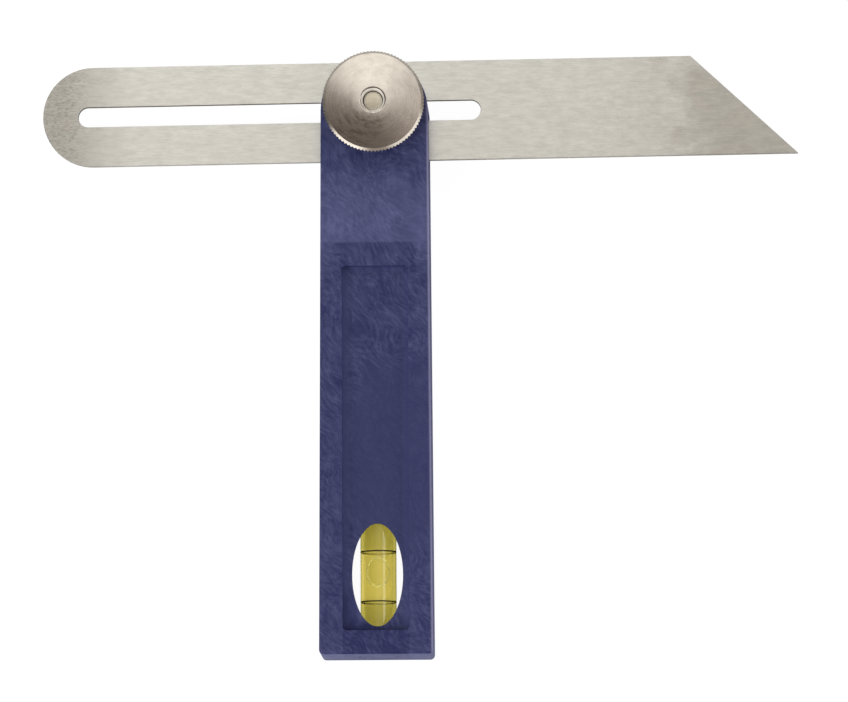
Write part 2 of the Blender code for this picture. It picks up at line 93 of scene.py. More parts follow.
ahead = (CAMERA_AIM - CAMERA_PLACE).normalized()
level_right = ahead.cross(Vector((0, 1, 0))).normalized()
level_up = level_right.cross(ahead)
right = level_right * math.cos(CAMERA_ROLL) + level_up * math.sin(CAMERA_ROLL)
up = level_up * math.cos(CAMERA_ROLL) - level_right * math.sin(CAMERA_ROLL)

camera_data = bpy.data.cameras.new("camera")
camera_data.lens = CAMERA_LENS
camera_data.sensor_width = CAMERA_SENSOR
camera = new_object("camera", camera_data)
facing = Matrix((right, up, -ahead)).transposed().to_4x4()
camera.matrix_world = Matrix.Translation(CAMERA_PLACE) @ facing
bpy.context.scene.camera = camera
print("camera stands", round((CAMERA_AIM - CAMERA_PLACE).length, 3), "m from the tool")

# %% [markdown]
# ## Short words for long node trees
#
# Every finish below is a node tree on the Principled shader. Writing each node and link out in full
# hides what the finish does, so a few helpers name the steps: a colour as a screen shows it, a
# place on the piece, a noise, a ramp from one value to another, a blend of two colours and a bump.
#
# Many tones depend on a place. Such a ramp is kept as a pair of values, where it starts and where it
# is full, and the pair has a name.

# %% Helpers for finishes
WHITE = (1, 1, 1, 1)
NOISE_LOW = 0.3
NOISE_HIGH = 0.7
GRAIN_DEPTH = 0.004 * MM

# The Mix node has a set of sockets for each kind of data, and they are told apart by their numbers
MIX_NUMBERS = (2, 3)
MIX_NUMBER_OUT = 0
MIX_COLOURS = (6, 7)
MIX_COLOUR_OUT = 2


def shown(red, green, blue):
    """The linear colour that a screen shows as these 8-bit values, by the sRGB formula."""
    linear = []
    for value in (red, green, blue):
        share = value / 255
        linear.append(share / 12.92 if share <= 0.04045 else ((share + 0.055) / 1.055) ** 2.4)
    return (*linear, 1)


def start_finish(name, roughness, metallic=0.0):
    """A new material, with its node tree and its shader."""
    material = bpy.data.materials.new(name)
    material.use_nodes = True
    tree = material.node_tree
    shader = tree.nodes["Principled BSDF"]
    shader.inputs["Roughness"].default_value = roughness
    shader.inputs["Metallic"].default_value = metallic
    return material, tree, shader


def place_on_piece(tree, scale=(1, 1, 1), turn=0.0):
    """Object coordinates, stretched and turned about Z."""
    coordinates = tree.nodes.new("ShaderNodeTexCoord")
    mapping = tree.nodes.new("ShaderNodeMapping")
    mapping.inputs["Scale"].default_value = scale
    mapping.inputs["Rotation"].default_value = (0, 0, turn)
    tree.links.new(coordinates.outputs["Object"], mapping.inputs["Vector"])
    return mapping.outputs["Vector"]


def place_parts(tree, place):
    """The X, Y and Z of a place."""
    node = tree.nodes.new("ShaderNodeSeparateXYZ")
    tree.links.new(place, node.inputs["Vector"])
    return node.outputs["X"], node.outputs["Y"], node.outputs["Z"]


def distance(tree, place):
    """How far a place is from the middle of its coordinates."""
    node = tree.nodes.new("ShaderNodeVectorMath")
    node.operation = "LENGTH"
    tree.links.new(place, node.inputs[0])
    return node.outputs["Value"]


def reach_from(tree, place, middle, reach):
    """The distance from a middle as seen from above, where one is the reach in each direction."""
    centred = tree.nodes.new("ShaderNodeMapping")
    centred.vector_type = "TEXTURE"
    centred.inputs["Location"].default_value = middle
    centred.inputs["Scale"].default_value = reach
    flat = tree.nodes.new("ShaderNodeVectorMath")
    flat.operation = "MULTIPLY"
    flat.inputs[1].default_value = (1, 1, 0)
    tree.links.new(place, centred.inputs["Vector"])
    tree.links.new(centred.outputs["Vector"], flat.inputs[0])
    return distance(tree, flat.outputs["Vector"])


def facing_up(tree):
    """How far the surface faces up: one on top, zero on an upright wall, and minus one below."""
    geometry = tree.nodes.new("ShaderNodeNewGeometry")
    _, _, upwards = place_parts(tree, geometry.outputs["True Normal"])
    return upwards


def combine(tree, operation, first, *others):
    """Arithmetic from left to right. Any value but the first may be a plain number."""
    result = first
    for other in others:
        node = tree.nodes.new("ShaderNodeMath")
        node.operation = operation
        tree.links.new(result, node.inputs[0])
        if isinstance(other, (int, float)):
            node.inputs[1].default_value = other
        else:
            tree.links.new(other, node.inputs[1])
        result = node.outputs["Value"]
    return result


def absolute(tree, value):
    """A value without its sign."""
    node = tree.nodes.new("ShaderNodeMath")
    node.operation = "ABSOLUTE"
    tree.links.new(value, node.inputs[0])
    return node.outputs["Value"]


def remap(tree, value, low, high, to_low, to_high, soft=False):
    """Stretches a value from one range to another, and stops it at the ends."""
    node = tree.nodes.new("ShaderNodeMapRange")
    node.interpolation_type = "SMOOTHSTEP" if soft else "LINEAR"
    ends = {"From Min": low, "From Max": high, "To Min": to_low, "To Max": to_high}
    for name, end in ends.items():
        node.inputs[name].default_value = end
    tree.links.new(value, node.inputs["Value"])
    return node.outputs["Result"]


def ramp(tree, value, ends, top=1.0, soft=False):
    """Zero where a value is at the first end, and the top where it is at the second."""
    return remap(tree, value, *ends, 0, top, soft)


def noise(tree, place, size, detail=2, roughness=0.5):
    """A noise whose blotches are about the given size in metres."""
    node = tree.nodes.new("ShaderNodeTexNoise")
    node.inputs["Scale"].default_value = 1 / size
    node.inputs["Detail"].default_value = detail
    node.inputs["Roughness"].default_value = roughness
    tree.links.new(place, node.inputs["Vector"])
    return node.outputs["Fac"]


def from_noise(tree, value, to_low, to_high):
    """Stretches the range that a noise mostly keeps to."""
    return remap(tree, value, NOISE_LOW, NOISE_HIGH, to_low, to_high)


def blend(tree, share, first, second, kind="MIX"):
    """Mixes two colours by a share. Each colour is a fixed one or comes from another node."""
    node = tree.nodes.new("ShaderNodeMix")
    node.data_type = "RGBA"
    node.blend_type = kind
    tree.links.new(share, node.inputs["Factor"])
    for index, colour in zip(MIX_COLOURS, (first, second)):
        if isinstance(colour, tuple):
            node.inputs[index].default_value = colour
        else:
            tree.links.new(colour, node.inputs[index])
    return node.outputs[MIX_COLOUR_OUT]


def raise_surface(tree, shader, height, depth):
    """Bumps the surface by a height, at most depth metres deep."""
    node = tree.nodes.new("ShaderNodeBump")
    node.inputs["Strength"].default_value = 1
    node.inputs["Distance"].default_value = depth
    tree.links.new(height, node.inputs["Height"])
    tree.links.new(node.outputs["Normal"], shader.inputs["Normal"])


def dress(name, material):
    """Gives a CAD node its finish."""
    nodes[name].data.materials.clear()
    nodes[name].data.materials.append(material)


print("helpers ready")

# %% [markdown]
# ## Smooth copies
#
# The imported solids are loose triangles, so round pieces show their facets. A copy whose corners are
# merged can be shaded smooth, with its real edges kept sharp. The copy has the same shape, rides on
# the same body and stands for its solid. On the handle, whose sloping frame meets the face at less
# than four degrees, edges between two faces that look forwards or backwards stay sharp as well.
#
# The mouth of the nut's hole and the bolt's end get a small round too, because in the photograph they
# shine in a way that a razor-sharp edge cannot. Liquid and bubble stay flat, because a smoothed
# surface would turn light aside where the solid does not.

# %% Helpers for smooth copies
MERGE = 0.002 * MM
SHARP_BEND = 30
FLAT_BEND = 1
FACING_OUT = 0.97
ROUND_STEPS = 4
ROUND_PROFILE = 0.5


def bend_at(edge):
    """The angle in degrees between the two faces at an edge."""
    if len(edge.link_faces) != 2:
        return 0.0
    first, second = (face.normal for face in edge.link_faces)
    return math.degrees(first.angle(second, 0))


def round_edges(form, sharp, within, above, width):
    """Rounds the sharp edges near the bolt's axis and above a height."""
    near = [
        edge for edge in form.edges
        if bend_at(edge) > sharp
        and all(math.hypot(vert.co.x, vert.co.y) < within and vert.co.z > above for vert in edge.verts)
    ]
    bmesh.ops.bevel(
        form, geom=near, offset=width, segments=ROUND_STEPS, profile=ROUND_PROFILE,
        affect="EDGES", clamp_overlap=True,
    )
    form.normal_update()
    return len(near)


def smooth_copy(node, body, material, sharp=SHARP_BEND, keep_faces=False, rounded=None, smooth=True):
    """A copy of a CAD node with smooth round faces and sharp edges."""
    form = bmesh.new()
    form.from_mesh(nodes[node].data)
    bmesh.ops.remove_doubles(form, verts=form.verts, dist=MERGE)
    bmesh.ops.dissolve_degenerate(form, dist=MERGE, edges=form.edges)
    form.normal_update()
    if rounded:
        print(node, "edges rounded:", round_edges(form, sharp, *rounded))
    for face in form.faces:
        face.smooth = smooth
        face.material_index = 0
    for edge in form.edges:
        bend = bend_at(edge)
        faces_out = all(abs(face.normal.z) > FACING_OUT for face in edge.link_faces)
        edge.smooth = bend < sharp and not (keep_faces and faces_out and bend > FLAT_BEND)
    mesh = bpy.data.meshes.new(node + "_smooth")
    form.to_mesh(mesh)
    form.free()
    mesh.materials.append(material)
    piece = new_object(node + "_smooth", mesh)
    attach(piece, body)
    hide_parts(node)
    return piece


def second_finish(piece, material, chosen):
    """Gives the chosen faces of a piece another finish, and lists them."""
    piece.data.materials.append(material)
    faces = [face for face in piece.data.polygons if chosen(face)]
    for face in faces:
        face.material_index = 1
    return faces


print("smooth copies keep edges over", SHARP_BEND, "degrees sharp")

# %% [markdown]
# ## The handle
#
# The handle is moulded in dark blue plastic with a fine satin grain. Flow in the mould has left short
# light flecks on a darker ground. They lean away from the handle's length, and they swirl. A noise
# that is stretched along the handle gives flecks, a turn makes them lean, and bending the coordinates
# with a slower noise makes them swirl. The middle of the panel is calm, so the flecks fade there.

# %% Flecks in blue plastic
PLASTIC_DEEP = shown(38, 42, 84)
PLASTIC_LIGHT = shown(96, 99, 139)
PLASTIC_SHINE = 0.2
PLASTIC_ROUGHNESS = (0.36, 0.5)
SWIRL_SIZE = 14 * MM
SWIRL_REACH = 6 * MM
WIDE_STREAKS = {"lean": 24, "width": 1.0 * MM}
NARROW_STREAKS = {"lean": 52, "width": 0.7 * MM}
STREAK_STRETCH = (1, 3, 1)
STREAK_NOISE = (0.43, 0.7)
STREAK_TONE = (-0.25, 0.75)
STREAK_STRENGTH = 0.24
CLOUD_NOISE = (0.35, 0.65)
CLOUD_TONE = (-0.5, 0.5)
CLOUD_STRENGTH = 0.16
CALM_MIDDLE = Vector((6, -95, 0)) * MM
CALM_REACH = Vector((18, 30, 1)) * MM
CALM_FADE = (1.1, 0.6)
CALM_STRENGTH = 0.25
GROUND_TONE = 0.18
CALM_TONE = 0.13


def swirled(tree, place, size, reach):
    """Coordinates that a slow noise bends by up to the given reach."""
    drift = noise(tree, place, size, detail=1).node.outputs["Color"]
    bend = tree.nodes.new("ShaderNodeVectorMath")
    bend.operation = "MULTIPLY_ADD"
    bend.inputs[1].default_value = (2 * reach, 2 * reach, 0)
    tree.links.new(drift, bend.inputs[0])
    tree.links.new(place, bend.inputs[2])
    return bend.outputs["Vector"]


def streaks(tree, place, lean, width):
    """Light streaks that lean from the handle's length by an angle in degrees."""
    stretch = tree.nodes.new("ShaderNodeMapping")
    stretch.vector_type = "TEXTURE"
    stretch.inputs["Rotation"].default_value = (0, 0, math.radians(lean))
    stretch.inputs["Scale"].default_value = STREAK_STRETCH
    tree.links.new(place, stretch.inputs["Vector"])
    value = noise(tree, stretch.outputs["Vector"], width, detail=3, roughness=0.6)
    return remap(tree, value, *STREAK_NOISE, *STREAK_TONE)


plastic, tree, shader = start_finish("handle_plastic", roughness=0.42)
shader.inputs["Specular IOR Level"].default_value = PLASTIC_SHINE
place = place_on_piece(tree)
swirl = swirled(tree, place, SWIRL_SIZE, SWIRL_REACH)
flecks = combine(
    tree, "ADD",
    streaks(tree, swirl, **WIDE_STREAKS),
    streaks(tree, swirl, **NARROW_STREAKS),
)
cloud = noise(tree, place, size=6 * MM, detail=5, roughness=0.6)
cloud = remap(tree, cloud, *CLOUD_NOISE, *CLOUD_TONE)
pattern = combine(
    tree, "ADD",
    combine(tree, "MULTIPLY", flecks, STREAK_STRENGTH),
    combine(tree, "MULTIPLY", cloud, CLOUD_STRENGTH),
)
calm = ramp(tree, reach_from(tree, place, CALM_MIDDLE, CALM_REACH), CALM_FADE, soft=True)
pattern = combine(tree, "MULTIPLY", pattern, remap(tree, calm, 0, 1, 1, CALM_STRENGTH))
ground = remap(tree, calm, 0, 1, GROUND_TONE, CALM_TONE)
print("flecks lean", WIDE_STREAKS["lean"], "and", NARROW_STREAKS["lean"], "degrees")

# %% [markdown]
# Light and shade are painted into the tone from place to place too. A painted sheen makes the fork
# lighter than the frame below it, and fades into painted shade under the nut. Painted shade makes
# the sunk panel darker along its foot, bluer beside its walls and deepest in its lower left corner,
# where the least light comes in. Each of these changes is a ramp on the piece's own coordinates, so
# that it stays soft and stays where it is when the tool moves.

# %% Painted sheen on the fork and painted shade in the sunk panel
PLASTIC_WALL_SHADE = shown(84, 88, 142)
PLASTIC_CORNER_SHADE = shown(20, 28, 84)
FRAME_TOP = -36.8 * MM
PANEL_HALF = 8.85 * MM
PANEL_TOP = -43.1 * MM
PANEL_FOOT = -140.7 * MM
PANEL_RIM = 18.8 * MM
LINE_BLUR = 0.05 * MM
SPECK_TONE = 0.08

# A painted sheen makes the fork lighter towards the frame, out of the painted shade under the nut,
# and the frame beside the panel's top follows it
FORK_SHEEN_RISE = (-12 * MM, -30 * MM)
FORK_SHEEN_END = (FRAME_TOP - 0.3 * MM, FRAME_TOP + 0.3 * MM)
FORK_SHEEN_TONE = 0.34
SHEEN_BESIDE_PANEL = (10 * MM, 12 * MM)
SHEEN_BESIDE_SHARE = 0.7
SHEEN_BESIDE_FADE = (-46 * MM, FRAME_TOP)

# Painted shade makes the panel darker along its foot and bluer beside its other three walls
FOOT_SHADE = (PANEL_FOOT + 3 * MM, PANEL_FOOT + 0.5 * MM)
FOOT_SHADE_TONE = -0.14
LEFT_WALL = (2.2 * MM - PANEL_HALF, 0.1 * MM - PANEL_HALF)
LEFT_WALL_SHADE_SHARE = 0.75
RIGHT_WALL = (PANEL_HALF - 2.2 * MM, PANEL_HALF)
TOP_WALL = (PANEL_TOP - 1.8 * MM, PANEL_TOP)
WALL_SHADE_SHARE = 0.36
BELOW_RIM = (PANEL_RIM - 0.2 * MM, PANEL_RIM - 1.2 * MM)

# Painted shade makes its lower left corner the deepest blue, and reaches on along the foot
CORNER_ALONG = (-129 * MM, -132.5 * MM)
CORNER_ACROSS = (-3.8 * MM, -6.8 * MM)
CORNER_SHADE_SHARE = 0.42
FOOT_ALONG = (PANEL_FOOT + 2.5 * MM, PANEL_FOOT + 0.5 * MM)
FOOT_ACROSS = (4 * MM, -8.5 * MM)
FOOT_CORNER_SHADE_SHARE = 0.8

across, along, height = place_parts(tree, place)
half_way = absolute(tree, across)
# Painted sheen on the fork and on the frame beside the panel's top, with painted shade under the nut
sheen_beside_panel = combine(
    tree, "MULTIPLY",
    ramp(tree, half_way, SHEEN_BESIDE_PANEL, SHEEN_BESIDE_SHARE, soft=True),
    ramp(tree, along, SHEEN_BESIDE_FADE, soft=True),
)
fork_sheen = combine(
    tree, "MULTIPLY",
    ramp(tree, along, FORK_SHEEN_RISE, soft=True),
    combine(tree, "MAXIMUM", ramp(tree, along, FORK_SHEEN_END), sheen_beside_panel),
)
speck = noise(tree, place, size=0.35 * MM)
# Painted shade along the panel's foot
foot_shade = combine(
    tree, "MULTIPLY",
    ramp(tree, along, FOOT_SHADE, FOOT_SHADE_TONE),
    ramp(tree, half_way, (PANEL_HALF + LINE_BLUR, PANEL_HALF - LINE_BLUR)),
)
shade = combine(
    tree, "ADD",
    pattern,
    ground,
    combine(tree, "MULTIPLY", fork_sheen, FORK_SHEEN_TONE),
    from_noise(tree, speck, 0, SPECK_TONE),
    foot_shade,
)
face_tone = blend(tree, shade, PLASTIC_DEEP, PLASTIC_LIGHT)

# Painted shade in a bluer tone beside the panel's left, right and top walls
wall_shade = combine(
    tree, "MAXIMUM",
    ramp(tree, across, LEFT_WALL, LEFT_WALL_SHADE_SHARE),
    ramp(tree, across, RIGHT_WALL, WALL_SHADE_SHARE),
    ramp(tree, along, TOP_WALL, WALL_SHADE_SHARE),
)
sunk = ramp(tree, height, BELOW_RIM)
face_tone = blend(tree, combine(tree, "MULTIPLY", wall_shade, sunk), face_tone, PLASTIC_WALL_SHADE)
# Painted shade in the panel's lower left corner and along its foot
left_low_shade = combine(
    tree, "MULTIPLY",
    ramp(tree, along, CORNER_ALONG, CORNER_SHADE_SHARE),
    ramp(tree, across, CORNER_ACROSS),
)
foot_corner_shade = combine(
    tree, "MULTIPLY",
    ramp(tree, along, FOOT_ALONG),
    ramp(tree, across, FOOT_ACROSS, FOOT_CORNER_SHADE_SHARE),
)
corner = combine(tree, "MULTIPLY", combine(tree, "MAXIMUM", left_low_shade, foot_corner_shade), sunk)
face_tone = blend(tree, corner, face_tone, PLASTIC_CORNER_SHADE)
print("panel tones reach from", round(PANEL_TOP / MM, 1), "to", round(PANEL_FOOT / MM, 1), "mm")

# %% [markdown]
# Painted light makes the handle's sides paler than its face, and a painted highlight makes the long
# right edge paler still. How far the surface faces up tells a side from a face, and a place near the
# outline tells an outer side from a wall of the panel. The outline flares towards the foot, so the
# edge is looked for along that slope.

# %% Painted light on the sides and a painted highlight on the right edge
# Tones of the painted light on the sides and of the painted highlight on the right edge
LIT_SIDE_DEEP = shown(84, 88, 140)
SIDE_LIGHT = shown(126, 130, 182)
PLASTIC_EDGE_HIGHLIGHT = shown(158, 154, 184)
LIT_SIDE_FACING = (0.985, 0.75)
LIT_SIDE_SHARE = 0.9
OUTER_SIDE = (13 * MM, 13.4 * MM)
OUTER_TOP = (0, 1 * MM)
OUTER_FOOT = (-145 * MM, -145.4 * MM)
HALF_WIDTH = 14.35 * MM
FLARE_WIDTH = 0.75 * MM
FLARE_LENGTH = 147 * MM
RIGHT_EDGE_HIGHLIGHT = (-0.65 * MM, 0.1 * MM)
RIGHT_EDGE_HIGHLIGHT_SHARE = 0.85
HIGHLIGHT_FACING = (0.05, 0.4)
HANDLE_SHARP_BEND = 38

upwards = facing_up(tree)
outside = combine(
    tree, "MAXIMUM",
    ramp(tree, half_way, OUTER_SIDE),
    ramp(tree, along, OUTER_TOP),
    ramp(tree, along, OUTER_FOOT),
)
# Painted light on the outer sides
lit_side = combine(
    tree, "MULTIPLY",
    ramp(tree, absolute(tree, upwards), LIT_SIDE_FACING, LIT_SIDE_SHARE, soft=True),
    outside,
)
# Painted highlight along the long right edge
widening = combine(tree, "MULTIPLY", along, FLARE_WIDTH / FLARE_LENGTH)
from_edge = combine(tree, "ADD", across, widening, -HALF_WIDTH)
right_edge_highlight = combine(
    tree, "MULTIPLY",
    ramp(tree, from_edge, RIGHT_EDGE_HIGHLIGHT, RIGHT_EDGE_HIGHLIGHT_SHARE),
    ramp(tree, upwards, HIGHLIGHT_FACING),
)
lit_side_tone = blend(tree, shade, LIT_SIDE_DEEP, SIDE_LIGHT)
outer_tone = blend(tree, lit_side, face_tone, lit_side_tone)
tree.links.new(blend(tree, right_edge_highlight, outer_tone, PLASTIC_EDGE_HIGHLIGHT), shader.inputs["Base Color"])
tree.links.new(from_noise(tree, speck, *PLASTIC_ROUGHNESS), shader.inputs["Roughness"])
raise_surface(tree, shader, speck, GRAIN_DEPTH)
handle = smooth_copy(
    "handle_body", "handle", plastic, sharp=HANDLE_SHARP_BEND, keep_faces=True
)
smooth_copy("end_plug", "handle", plastic)
print("handle and plug dressed:", len(handle.data.polygons), "faces")

# %% [markdown]
# ## The blade
#
# The blade is stainless steel, brushed along its length. Brushing is thousands of fine scratches,
# far too small to model, so a noise that is stretched ten times along the blade changes the tone,
# the roughness and the bump together. A second, broader one gives the soft patches.
#
# Painted shade darkens the steel towards both ends, the tip the most, and there are faint warm stains.
# The round end has short scuffs as well. Painted shade darkens the slot's wall, so it is darker than
# the faces.

# %% Brushed steel
BLADE_TURN = math.radians(0.62)
STEEL_LIGHT = shown(247, 245, 234)
STEEL_DARK = shown(207, 205, 196)
STEEL_ROUGHNESS = (0.28, 0.4)
SCRATCH_TONE = 0.5
PATCH_TONE = 0.5

# Painted shade darkens the steel towards both ends by a tint, which is warmer in the stains
END_SHADE_TINT = (0.62, 0.605, 0.59, 1)
STAINED_SHADE_TINT = (0.64, 0.605, 0.585, 1)
STAINED_NOISE = (0.5, 0.64)
STAIN_WANDER = 7 * MM
ROUND_END_SHADE = (-65 * MM, -84 * MM)
ROUND_END_SHADE_SHARE = 0.88
MIDDLE_SHADE = (-50 * MM, 58 * MM)
MIDDLE_SHADE_SHARE = 0.3
TIP_SHADE = (60 * MM, 104 * MM)
TIP_SHADE_SHARE = 0.5
TIP_SHADE_STEP = (78 * MM, 90 * MM)
TIP_SHADE_STEP_SHARE = 0.32

# Scuffs lie on the round end only, and painted shade darkens the slot's wall
SCUFFED = shown(150, 146, 136)
SCUFF_NOISE = (0.5, 0.7)
SCUFF_SHARE = 0.6
SCUFF_START = (-75 * MM, -82 * MM)
SLOT_WALL_SHADE = shown(132, 122, 108)
SLOT_MIDDLE = -25.7 * MM
SLOT_LENGTHWAYS = (57 * MM, 56 * MM)
SLOT_CROSSWAYS = (3.1 * MM, 2.9 * MM)
WALL_FACING = (0.6, 0.4)


def brushed(tree, squeeze, size, detail, roughness=0.5):
    """A noise that is long the way the blade is, because its coordinates are squeezed that way."""
    return noise(tree, place_on_piece(tree, (squeeze, 1, 1), -BLADE_TURN), size, detail, roughness)


steel, tree, shader = start_finish("blade_steel", roughness=0.34, metallic=1.0)
scratches = brushed(tree, squeeze=0.1, size=0.34 * MM, detail=3, roughness=0.65)
patches = brushed(tree, squeeze=0.35, size=1.1 * MM, detail=4, roughness=0.65)
tone = combine(
    tree, "ADD",
    from_noise(tree, scratches, 0, SCRATCH_TONE),
    from_noise(tree, patches, 0, PATCH_TONE),
)
clean = blend(tree, tone, STEEL_DARK, STEEL_LIGHT)

stains = noise(tree, place_on_piece(tree), size=6 * MM, detail=4)
length_way, _, _ = place_parts(tree, place_on_piece(tree))
wandering = combine(tree, "ADD", length_way, from_noise(tree, stains, -STAIN_WANDER, STAIN_WANDER))
# Painted shade towards the round end, and growing along the blade towards the tip
ends_shade = combine(
    tree, "ADD",
    ramp(tree, length_way, ROUND_END_SHADE, ROUND_END_SHADE_SHARE),
    ramp(tree, wandering, MIDDLE_SHADE, MIDDLE_SHADE_SHARE),
    ramp(tree, wandering, TIP_SHADE, TIP_SHADE_SHARE),
    ramp(tree, wandering, TIP_SHADE_STEP, TIP_SHADE_STEP_SHARE, soft=True),
)
scuffs = combine(
    tree, "MULTIPLY",
    ramp(tree, brushed(tree, squeeze=0.3, size=0.3 * MM, detail=2), SCUFF_NOISE, SCUFF_SHARE),
    ramp(tree, length_way, SCUFF_START),
)
tint = blend(tree, ramp(tree, stains, STAINED_NOISE), END_SHADE_TINT, STAINED_SHADE_TINT)
scuffed_and_shaded = blend(tree, ends_shade, blend(tree, scuffs, clean, SCUFFED), tint, "MULTIPLY")

_, off_middle, _ = place_parts(tree, place_on_piece(tree, turn=-BLADE_TURN))
from_slot = absolute(tree, combine(tree, "ADD", length_way, -SLOT_MIDDLE))
# Painted shade on the slot's wall
slot_wall_shade = combine(
    tree, "MULTIPLY",
    ramp(tree, from_slot, SLOT_LENGTHWAYS),
    ramp(tree, absolute(tree, off_middle), SLOT_CROSSWAYS),
    ramp(tree, absolute(tree, facing_up(tree)), WALL_FACING),
)
tree.links.new(blend(tree, slot_wall_shade, scuffed_and_shaded, SLOT_WALL_SHADE), shader.inputs["Base Color"])
tree.links.new(from_noise(tree, scratches, *STEEL_ROUGHNESS), shader.inputs["Roughness"])
raise_surface(tree, shader, scratches, GRAIN_DEPTH)
dress("blade", steel)
print("blade dressed")

# %% [markdown]
# ## The thumb nut
#
# The nut is turned from bar and nickel plated. The lathe tool has left rings round its face. Their
# tone depends only on the distance from the axis, so we take the length of the coordinate without
# its height and feed that to the noise. A second noise, stretched along the rings, darkens small pits,
# most of all in a patch at the lower left.
#
# The hole and the bolt's edge are cut metal without plating. They are paler and rougher, which also
# paints in their bright highlights, and they mirror the room only in part: full mirrors would be
# black there, because they would show the dark hole.

# %% Turned nickel
NICKEL_LIGHT = shown(225, 216, 203)
NICKEL_DARK = shown(192, 183, 171)
ZINC_LIGHT = shown(240, 232, 209)
ZINC_DARK = shown(194, 184, 160)
CUT_HIGHLIGHT_LIGHT = shown(252, 247, 238)
CUT_HIGHLIGHT_DARK = shown(232, 226, 214)
CUT_HIGHLIGHT_METALLIC = 0.35
PITTED = shown(118, 106, 91)
PIT_STRETCH = 3 * MM
PIT_NOISE = (0.47, 0.65)
PIT_PATCH_MIDDLE = Vector((-3.5, -6.5, 0)) * MM
PIT_PATCH_REACH = Vector((8, 5.5, 1)) * MM
PIT_PATCH_FADE = (1.2, 0.3)
PIT_PATCH_SHARE = (0.15, 0.75)
RING_TONE = 0.6
STAIN_TONE = 0.4
ROUGHNESS_SPREAD = 0.05


def round_the_axis(tree, from_axis, place):
    """Coordinates whose X runs outwards from the Z axis and whose Y runs round it."""
    east, north, _ = place_parts(tree, place)
    angle = combine(tree, "ARCTAN2", east, combine(tree, "MULTIPLY", north, -1))
    ring_place = tree.nodes.new("ShaderNodeCombineXYZ")
    tree.links.new(from_axis, ring_place.inputs["X"])
    tree.links.new(combine(tree, "MULTIPLY", angle, PIT_STRETCH), ring_place.inputs["Y"])
    return ring_place.outputs["Vector"]


def turned_metal(name, light, dark, roughness, metallic=1.0):
    """Metal with the fine rings that turning leaves round the Z axis, and with dark pits."""
    material, tree, shader = start_finish(name, roughness, metallic)
    flat_place = place_on_piece(tree, (1, 1, 0))
    from_axis = distance(tree, flat_place)
    outwards = tree.nodes.new("ShaderNodeCombineXYZ")
    tree.links.new(from_axis, outwards.inputs["X"])
    rings = noise(tree, outwards.outputs["Vector"], size=0.3 * MM, detail=3, roughness=0.7)
    stains = noise(tree, place_on_piece(tree), size=2.5 * MM, detail=3)
    tone = combine(
        tree, "ADD",
        from_noise(tree, rings, 0, RING_TONE),
        from_noise(tree, stains, 0, STAIN_TONE),
    )
    ring_place = round_the_axis(tree, from_axis, flat_place)
    pits = ramp(tree, noise(tree, ring_place, size=1.1 * MM, detail=5, roughness=0.75), PIT_NOISE)
    # The pits are darkest in a patch at the lower left
    from_pit_patch = reach_from(tree, place_on_piece(tree), PIT_PATCH_MIDDLE, PIT_PATCH_REACH)
    patch = remap(tree, from_pit_patch, *PIT_PATCH_FADE, *PIT_PATCH_SHARE, soft=True)
    colour = blend(tree, combine(tree, "MULTIPLY", pits, patch), blend(tree, tone, dark, light), PITTED)
    tree.links.new(colour, shader.inputs["Base Color"])
    uneven = from_noise(tree, rings, roughness - ROUGHNESS_SPREAD, roughness + ROUGHNESS_SPREAD)
    tree.links.new(uneven, shader.inputs["Roughness"])
    raise_surface(tree, shader, rings, GRAIN_DEPTH)
    return material


nickel = turned_metal("nut_nickel", NICKEL_LIGHT, NICKEL_DARK, roughness=0.26)
zinc = turned_metal("bolt_zinc", ZINC_LIGHT, ZINC_DARK, roughness=0.42)
# Cut metal whose pale colour is partly a painted highlight in the hole and on the bolt's edge
cut_and_highlight = turned_metal("cut_metal_and_highlight", CUT_HIGHLIGHT_LIGHT, CUT_HIGHLIGHT_DARK, roughness=0.5, metallic=CUT_HIGHLIGHT_METALLIC)
print("turned finishes:", nickel.name, zinc.name, cut_and_highlight.name)

# %% Nut, bolt and washer
MOUTH_REACH = 4 * MM
MOUTH_DEPTH = 0.3 * MM
MOUTH_ROUND = 0.3 * MM
HOLE_REACH = 3.15 * MM
NUT_SHARP_BEND = 24
BOLT_REACH = 3 * MM
BOLT_EDGE_DEPTH = 0.1 * MM
BOLT_ROUND = 0.35 * MM
BOLT_CUT_DEPTH = 1.5 * MM
BOLT_END_FACING = 0.98

_, nut_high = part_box("thumb_nut")
_, bolt_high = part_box("clamp_bolt")
mouth = (MOUTH_REACH, nut_high.z - MOUTH_DEPTH, MOUTH_ROUND)
bolt_end = (BOLT_REACH, bolt_high.z - BOLT_EDGE_DEPTH, BOLT_ROUND)


def in_hole(face):
    """True for a face of the nut's hole or of its mouth."""
    return math.hypot(face.center.x, face.center.y) < HOLE_REACH


def round_bolt_end(face):
    """True for a face round the bolt's end, but not for the flat end itself."""
    return face.normal.z < BOLT_END_FACING and face.center.z > bolt_high.z - BOLT_CUT_DEPTH


nut = smooth_copy("thumb_nut", "thumb_nut", nickel, sharp=NUT_SHARP_BEND, rounded=mouth)
bolt = smooth_copy("clamp_bolt", "handle", zinc, rounded=bolt_end)
smooth_copy("nut_washer", "nut_washer", zinc)
print("cut faces round the hole:", len(second_finish(nut, cut_and_highlight, in_hole)))
print("cut faces round the bolt's end:", len(second_finish(bolt, cut_and_highlight, round_bolt_end)))

# %% [markdown]
# ## The blade washers
#
# Two thin nylon washers keep the blade from rubbing on the fork. They are a milky off-white with a
# slightly uneven skin, and show only when the tool is seen edge on.

# %% Nylon
NYLON_LIGHT = shown(232, 229, 218)
NYLON_DARK = shown(216, 211, 196)
NYLON_DEPTH = 0.01 * MM

